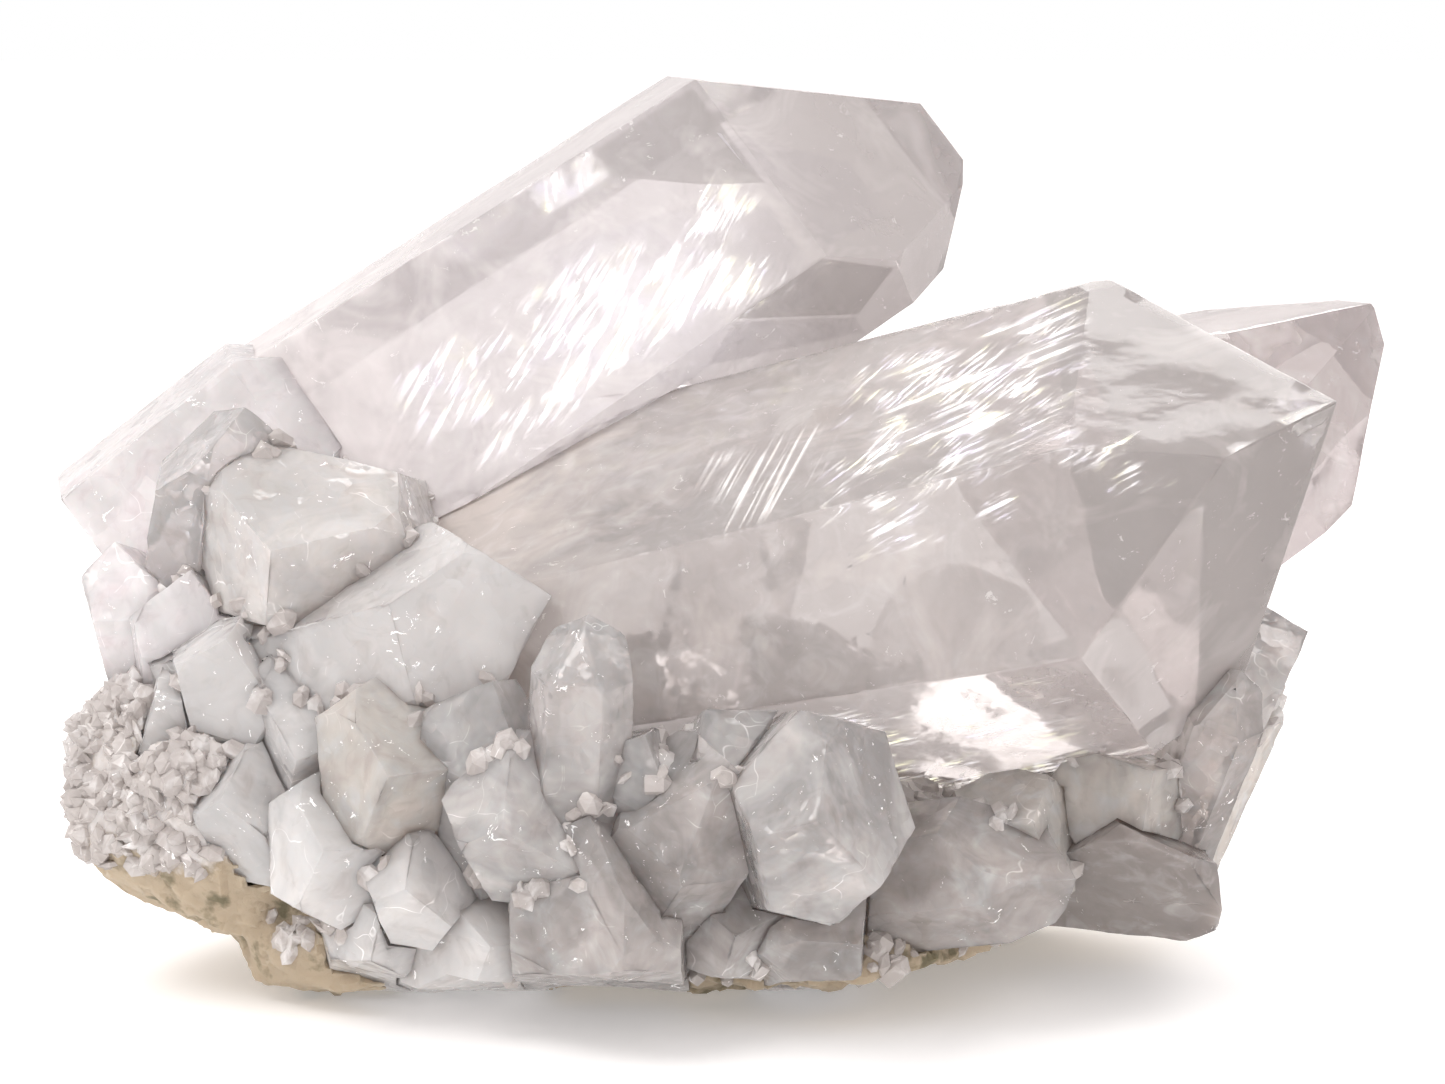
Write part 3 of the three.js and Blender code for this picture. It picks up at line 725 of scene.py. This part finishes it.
# White and rainbow tints of the crack strokes: painted reflection colours.
RAINBOW_REFLECTION = ((0.86, 0.84, 1.0), (1.0, 1.0, 1.0), (1.0, 1.0, 0.78))
finishes["feathers"] = crack_finish("feathers", 10.0, 1.2, 8.0, 0.46, 0.12, 1.3, RAINBOW_REFLECTION)
finishes["fine_feathers"] = crack_finish("fine_feathers", 5.0, 0.6, 6.0, 0.48, 0.05, 1.2, RAINBOW_REFLECTION)
finishes["lines"] = crack_finish("lines", 30.0, 0.8, 10.0, 0.42, 0.03, 0.6,
                                 ((0.95, 0.92, 0.90), (1.0, 1.0, 1.0), (0.95, 0.93, 0.90)))
finishes["grey_veil"] = crack_finish("grey_veil", 3.0, 1.0, 6.0, 0.53, 0.04, 0.0,
                                     ((0.42, 0.45, 0.48), (0.55, 0.57, 0.58), (0.8, 0.8, 0.8)))


finishes["sugar_scar"] = crack_finish("sugar_scar", 2.2, 1.1, 4.0, 0.30, 0.45, 0.6, RAINBOW_REFLECTION)


def healed_crack(name, node, direction, depth, span, lean, finish):
    mesh = crack_slab(name, node, direction, depth, span, math.radians(lean), 0.04 * MM)
    return add_piece(name, mesh, finishes[finish])


# %% Cracks in the giants
LEFT_FRONT = (0, -0.92, 0.40)
RIGHT_TOP = (-0.34, -0.35, 0.87)
RIGHT_FRONT = (-0.28, -0.96, 0.08)
healed_crack("left_feathers", "left_giant", LEFT_FRONT, 2.5 * MM,
             (0.24, 0.98, 0.10, 0.66), 30, "feathers")
healed_crack("left_feathers_deep", "left_giant", LEFT_FRONT, 5 * MM,
             (0.36, 0.99, 0.08, 0.60), 24, "fine_feathers")
healed_crack("left_scar", "left_giant", LEFT_FRONT, 0.6 * MM,
             (0.64, 0.78, 0.84, 1.0), 60, "sugar_scar")
healed_crack("right_feathers", "right_giant", RIGHT_TOP, 2.0 * MM,
             (0.74, 1.0, 0.02, 0.98), 20, "feathers")
healed_crack("right_feathers_deep", "right_giant", RIGHT_TOP, 4.0 * MM,
             (0.68, 1.0, 0.05, 0.95), 50, "fine_feathers")
healed_crack("right_lines", "right_giant", RIGHT_TOP, 1.5 * MM,
             (0.53, 0.70, 0.02, 0.55), 78, "lines")
healed_crack("right_front_sparks", "right_giant", RIGHT_FRONT, 1.5 * MM,
             (0.62, 0.95, 0.70, 1.0), 15, "fine_feathers")
healed_crack("right_front_veil", "right_giant", RIGHT_FRONT, 3.0 * MM,
             (0.66, 0.86, 0.30, 0.80), 55, "grey_veil")
healed_crack("right_foot_sparks", "right_giant", (0.01, -0.59, -0.81), 1.5 * MM,
             (0.45, 0.95, 0.1, 0.9), 10, "fine_feathers")
print("healed cracks done")

# %% [markdown]
# ## Ghost planes
# While it grew, a crystal now and then paused, and a breath of dust settled on its faces
# before it went on. Such an old face shows inside the new one as a ghost: a straight-edged
# patch a shade greyer or whiter than the stone round it. Each is a thin flat slab.
# %% Ghosts
def ghost_finish(name, colour, strength):
    material, tree, shader, place = new_finish(name)
    shader.inputs["Base Color"].default_value = (*colour, 1.0)
    cloud = mottle(tree, place, 9 * MM, detail=4.0)
    tree.links.new(remap(tree, cloud, 0.2, 0.8, 0.7 * strength, strength),
                   shader.inputs["Alpha"])
    shader.inputs["Roughness"].default_value = 0.4
    return material


finishes["grey_ghost"] = ghost_finish("grey_ghost", (0.50, 0.46, 0.43), 0.55)
finishes["white_ghost"] = ghost_finish("white_ghost", (0.97, 0.95, 1.0), 0.45)


def ghost_plane(name, node, direction, depth, corners, finish):
    """A thin slab under a big face, its corners given along and across it from 0 to 1."""
    points, normal, along = big_face(node, direction)
    across = normal.cross(along)
    if across.z < 0:
        across.negate()
    reach = [p.dot(along) for p in points]
    width = [p.dot(across) for p in points]
    base = points[0].dot(normal) - depth
    bm = bmesh.new()
    rim = []
    for part_along, part_across in corners:
        a = min(reach) + (max(reach) - min(reach)) * part_along
        b = min(width) + (max(width) - min(width)) * part_across
        rim.append(bm.verts.new(along * a + across * b + normal * base))
    bm.faces.new(rim)
    bmesh.ops.solidify(bm, geom=bm.faces[:], thickness=0.03 * MM)
    bmesh.ops.recalc_face_normals(bm, faces=bm.faces)
    mesh = bpy.data.meshes.new(name)
    bm.to_mesh(mesh)
    bm.free()
    return add_piece(name, mesh, finishes[finish])


ghost_plane("left_grey_ghost", "left_giant", LEFT_FRONT, 0.5 * MM,
            ((0.78, 0.98), (0.98, 0.98), (0.985, 0.47), (0.90, 0.60), (0.78, 0.84)), "grey_ghost")
ghost_plane("left_tip_ghost", "left_giant", (0.48, -0.60, 0.64), 1.0 * MM,
            ((0.02, 0.72), (0.51, 0.59), (0.56, 0.27), (0.24, 0.05)), "white_ghost")
ghost_plane("left_under_ghost", "left_giant", (0.48, -0.76, -0.44), 0.8 * MM,
            ((0.28, 0.93), (0.75, 0.22), (0.76, 0.02), (0.10, 0.70)), "white_ghost")
ghost_plane("left_under_grey", "left_giant", (0.48, -0.76, -0.44), 0.6 * MM,
            ((0.29, 0.96), (0.72, 0.98), (0.98, 0.45), (0.77, 0.23)), "grey_ghost")
ghost_plane("left_white_ghost", "left_giant", LEFT_FRONT, 8 * MM,
            ((0.62, 0.78), (0.88, 0.60), (0.98, 0.42), (0.98, 0.09), (0.70, 0.07), (0.48, 0.40)),
            "white_ghost")

# %% [markdown]
# ## Dark grains
# A few dark mineral grains and small open cracks sit just under the front of the right
# giant, in the clear tip of the left block, and on the block at the lower right.
# %% Grains
def grain_finish(name, colour):
    material, tree, shader, place = new_finish(name)
    shade = remap(tree, mottle(tree, place, 2 * MM), 0.4, 0.6)
    tree.links.new(tint(tree, shade, colour, tuple(min(1.0, 2.2 * c) for c in colour)),
                   shader.inputs["Base Color"])
    shader.inputs["Roughness"].default_value = 0.5
    return material


finishes["dark_grain"] = grain_finish("dark_grain", (0.09, 0.09, 0.10))
finishes["grey_wisp"] = grain_finish("grey_wisp", (0.30, 0.33, 0.36))


def grains(name, node, direction, depth, span, finish, amount, largest, seed, edge=0.5):
    sheet = crack_slab(name, node, direction, depth, span, 0.0, 0.01 * MM)
    return strew(name, strew_flakes, sheet, finishes[finish], slot_of[node],
                 Per_square_metre=amount / 2, Patch_size=8 * MM, Patch_edge=edge,
                 Smallest=(0.12 * MM, 0.10 * MM, 0.05 * MM), Largest=largest,
                 Along=(1.0, 0.0, 0.6), Tilt=0.8, Seed=seed)


grains("right_giant_grains", "right_giant", (0, -1, 0), 0.8 * MM, (0.56, 0.84, 0.10, 0.95),
       "dark_grain", 4e4, (0.9 * MM, 0.3 * MM, 0.1 * MM), 8, edge=0.48)
grains("right_giant_wisps", "right_giant", (0, -1, 0), 1.5 * MM, (0.66, 0.86, 0.20, 0.65),
       "grey_wisp", 3e5, (1.6 * MM, 0.35 * MM, 0.1 * MM), 9, edge=0.58)
grains("left_block_grains", "left_block", (0, -1, -0.6), 0.6 * MM, (0.05, 0.40, 0.50, 0.95),
       "dark_grain", 6e5, (0.9 * MM, 0.4 * MM, 0.1 * MM), 10, edge=0.52)
grains("right_base_grains", "right_base", (0, -1, 0), 0.05 * MM, (0.50, 0.85, 0.45, 0.85),
       "dark_grain", 2.5e5, (0.4 * MM, 0.3 * MM, 0.2 * MM), 11, edge=0.5)

# %% [markdown]
# ## Table, light and camera
# The cluster stands on a plain pale table in soft light. A crystal is lit by what is seen
# through it, so the room matters more than the lamps: bright above and behind, and darker
# below, which is why the faces that look up seem greyer than the faces that look down. The
# table is left out of what shows through the stone, so that the darker room below does.
# %% Stage
table_mesh = bpy.data.meshes.new("table")
table_mesh.from_pydata([(-6, -6, 0), (6, -6, 0), (6, 30, 0), (-6, 30, 0)], [], [(0, 1, 2, 3)])
table = bpy.data.objects.new("table", table_mesh)
bpy.context.scene.collection.objects.link(table)
table_finish, table_tree, table_shader, table_place = new_finish("table_paint")
table_shader.inputs["Base Color"].default_value = (0.95, 0.95, 0.95, 1.0)
table_shader.inputs["Roughness"].default_value = 0.9
table_shader.inputs["Specular IOR Level"].default_value = 0.0
table_shader.inputs["Emission Color"].default_value = (1.0, 1.0, 1.0, 1.0)
table_shader.inputs["Emission Strength"].default_value = 0.22
table_mesh.materials.append(table_finish)
table.visible_transmission = False
table.visible_glossy = False


def soft_light(name, where, size, power, colour=(1, 1, 1)):
    light = bpy.data.lights.new(name, "AREA")
    light.shape = "DISK"
    light.size = size
    light.energy = power
    light.color = colour
    lamp = bpy.data.objects.new(name, light)
    lamp.location = where
    lamp.rotation_euler = (Vector((0, 0, 0.05)) - Vector(where)).to_track_quat("-Z", "Y").to_euler()
    bpy.context.scene.collection.objects.link(lamp)
    return lamp


soft_light("window", (-0.45, -0.30, 0.8), 0.5, 3.2, (1.0, 0.98, 0.96))
soft_light("back_panel", (0.2, 0.7, 0.6), 0.7, 3.0, (1.0, 0.98, 0.97))

world = bpy.data.worlds.new("studio")
bpy.context.scene.world = world
world.use_nodes = True
tree = world.node_tree
tree.nodes.clear()
ways = add_node(tree, "ShaderNodeTexCoord").outputs["Generated"]
way = add_node(tree, "ShaderNodeSeparateXYZ", {"Vector": ways}).outputs
below = remap(tree, way["Z"], 0.05, -0.45)
above = remap(tree, way["Z"], 0.1, 0.9)
room = tint(tree, above, (0.90, 0.86, 0.85), (1.05, 1.01, 1.00))
back = remap(tree, way["Y"], -0.5, 0.9)
room = tint(tree, back, room, (1.02, 0.97, 0.96))
room = tint(tree, below, room, (0.58, 0.54, 0.52))
seen = add_node(tree, "ShaderNodeLightPath").outputs["Is Camera Ray"]
room = tint(tree, seen, room, (1.0, 1.0, 1.0))
glow = add_node(tree, "ShaderNodeBackground", {"Color": room, "Strength": 1.0})
shown = add_node(tree, "ShaderNodeOutputWorld")
tree.links.new(glow.outputs["Background"], shown.inputs["Surface"])

LOOK_DOWN = math.radians(8.0)
AWAY = 420 * MM
aim = Vector((1.52 * MM, -7.03 * MM, 54.5 * MM))
camera_data = bpy.data.cameras.new("camera")
camera_data.lens = 87.5
camera_data.sensor_width = 36.0
camera = bpy.data.objects.new("camera", camera_data)
camera.location = aim + AWAY * Vector((0, -math.cos(LOOK_DOWN), math.sin(LOOK_DOWN)))
camera.rotation_euler = (math.radians(90) - LOOK_DOWN, 0, 0)
bpy.context.scene.collection.objects.link(camera)
bpy.context.scene.camera = camera
print("camera at", camera.location)
